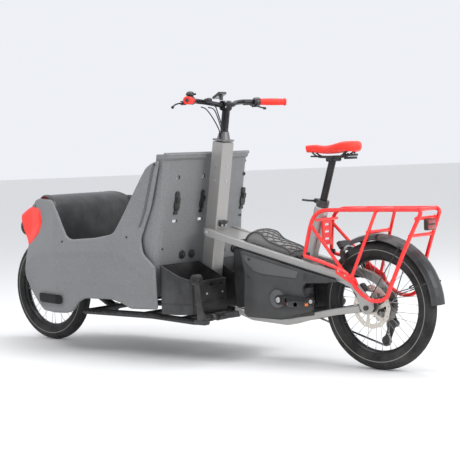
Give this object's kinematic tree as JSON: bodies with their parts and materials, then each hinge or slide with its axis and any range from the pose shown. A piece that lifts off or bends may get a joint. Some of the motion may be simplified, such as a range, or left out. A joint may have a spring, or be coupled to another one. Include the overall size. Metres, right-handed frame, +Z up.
{
  "type": "front-box cargo bicycle",
  "caption": "Long two-wheeled cargo bicycle with a grey front box, folding bench, steering column, mid motor, red rear rack, ring lock and folded stand.",
  "frame": {"origin": "on the ground under the middle of the whole bicycle's bounding box", "axes": "+X towards the rear wheel, +Y towards the rider's right hand, +Z up"},
  "size_m": [2.55, 0.7038, 1.1876],
  "materials": {
    "box_plastic": "speckled, lightly grained",
    "dark_plastic": "satin",
    "black_plastic": "satin",
    "black_metal": "satin powder coat",
    "black_sheet": "fine grain",
    "tyre": "matt",
    "silver_paint": "satin metallic",
    "cast_alloy": "as cast",
    "rotor_steel": "brushed",
    "dark_steel": "oiled",
    "red_paint": "gloss powder coat",
    "red_rubber": "matt",
    "cable_rubber": "satin",
    "net_fabric": "woven net",
    "lamp_lens": "smooth"
  },
  "bodies": {
    "frame": {"back_wall": "box_plastic", "battery": "black_plastic", "cargo_frame": "black_metal", "column_cap": "cast_alloy", "derailleur_body": "black_metal", "drive_chain": "dark_steel", "drive_motor": "black_metal", "floor_panel": "black_sheet", "frame_rail_left": "silver_paint", "frame_rail_right": "silver_paint", "front_wall": "black_sheet", "headlight": "lamp_lens", "lower_rail_left": "silver_paint", "lower_rail_right": "silver_paint", "motor_cover_left": "dark_plastic", "motor_cover_right": "dark_plastic", "net_pouch": "net_fabric", "nose_cover": "red_rubber", "rear_axle": "black_metal", "rear_brake_caliper": "black_metal", "rear_mudguard": "black_plastic", "rear_rack": "red_paint", "ring_lock": "black_metal", "seat_collar": "black_metal", "seat_tube": "silver_paint", "side_panel_left": "box_plastic", "side_panel_right": "box_plastic", "steering_column": "silver_paint", "storage_bin_left": "black_plastic", "storage_bin_right": "black_plastic", "tail_light": "black_plastic"},
    "steering_bar": {"handlebar": "black_metal", "handlebar_riser": "black_metal", "grip_left": "red_rubber", "grip_right": "red_rubber", "brake_clamp_left": "black_metal", "brake_clamp_right": "black_metal", "display": "black_plastic", "control_cables": "cable_rubber"},
    "left_lever": {"brake_lever_left": "black_metal"},
    "right_lever": {"brake_lever_right": "black_metal"},
    "fork_group": {"fork": "silver_paint", "front_brake_caliper": "black_metal"},
    "front_wheel_group": {"front_tyre": "tyre", "front_wheel": "black_metal", "front_rotor": "rotor_steel"},
    "rear_wheel_group": {"rear_tyre": "tyre", "rear_wheel": "black_metal", "rear_rotor": "rotor_steel"},
    "cassette_group": {"cassette": "dark_steel"},
    "crankset": {"crank_arm_left": "black_metal", "crank_arm_right": "black_metal"},
    "left_pedal": {"pedal_left": "black_plastic"},
    "right_pedal": {"pedal_right": "black_plastic"},
    "chain_tensioner": {"derailleur_cage": "black_metal"},
    "seat_group": {"seatpost": "black_metal", "saddle": "red_rubber"},
    "stand": {"kickstand": "black_metal"},
    "bench": {"bench_seat": "dark_plastic"},
    "lock_bolt": {"lock_shackle": "rotor_steel"}
  },
  "joints": [
    {"name": "fork_turn", "type": "hinge", "parent": "frame", "child": "fork_group", "pos_m": [-0.85713, 0, 0.59], "axis": [0.309, 0, 0.9511], "range_deg": [-45, 45]},
    {"name": "bar_turn", "type": "hinge", "parent": "frame", "child": "steering_bar", "pos_m": [0.17295, 0, 0.965], "axis": [0.165, 0, 0.9863], "range_deg": [-45, 45], "deforming": ["control_cables"]},
    {"name": "front_wheel_spin", "type": "hinge", "parent": "fork_group", "child": "front_wheel_group", "pos_m": [-1.01005, 0, 0.265], "axis": [0, -1, 0], "continuous": true},
    {"name": "rear_wheel_spin", "type": "hinge", "parent": "frame", "child": "rear_wheel_group", "pos_m": [0.98095, 0, 0.265], "axis": [0, -1, 0], "continuous": true},
    {"name": "crank_spin", "type": "hinge", "parent": "frame", "child": "crankset", "pos_m": [0.56345, 0, 0.284], "axis": [0, -1, 0], "continuous": true},
    {"name": "cassette_spin", "type": "hinge", "parent": "frame", "child": "cassette_group", "pos_m": [0.98095, 0, 0.265], "axis": [0, -1, 0], "continuous": true},
    {"name": "left_pedal_spin", "type": "hinge", "parent": "crankset", "child": "left_pedal", "pos_m": [0.73345, -0.2, 0.284], "axis": [0, -1, 0], "continuous": true},
    {"name": "right_pedal_spin", "type": "hinge", "parent": "crankset", "child": "right_pedal", "pos_m": [0.39345, 0.2, 0.284], "axis": [0, -1, 0], "continuous": true},
    {"name": "left_brake_pull", "type": "hinge", "parent": "steering_bar", "child": "left_lever", "pos_m": [0.15704, -0.2378, 1.13624], "axis": [0, 0, 1], "range_deg": [0, 14], "stiffness_Nm_per_rad": 2, "springref_deg": -11.46},
    {"name": "right_brake_pull", "type": "hinge", "parent": "steering_bar", "child": "right_lever", "pos_m": [0.15704, 0.2378, 1.13624], "axis": [0, 0, -1], "range_deg": [0, 14], "stiffness_Nm_per_rad": 2, "springref_deg": -11.46},
    {"name": "chain_tensioner_swing", "type": "hinge", "parent": "frame", "child": "chain_tensioner", "pos_m": [1.00495, 0.047, 0.181], "axis": [0, 1, 0], "range_deg": [-12, 25], "stiffness_Nm_per_rad": 2, "deforming": ["drive_chain"]},
    {"name": "seatpost_slide", "type": "slide", "parent": "frame", "child": "seat_group", "axis": [0.3074, 0, 0.9516], "range_m": [-0.08, 0.1]},
    {"name": "stand_fold", "type": "hinge", "parent": "frame", "child": "stand", "pos_m": [0.23745, 0, 0.2], "axis": [0, 1, 0], "range_deg": [0, 172]},
    {"name": "bench_fold", "type": "hinge", "parent": "frame", "child": "bench", "pos_m": [-0.01083, 0, 0.492], "axis": [0, 1, 0], "range_deg": [0, 82]},
    {"name": "lock_bolt_turn", "type": "hinge", "parent": "frame", "child": "lock_bolt", "pos_m": [0.85457, 0, 0.45236], "axis": [0.829, 0, 0.5592], "range_deg": [0, 176]}
  ],
  "couplings": [
    {"joint": "bar_turn", "follows": "fork_turn", "ratio": 1},
    {"joint": "cassette_spin", "follows": "crank_spin", "ratio": 1.6021}
  ]
}
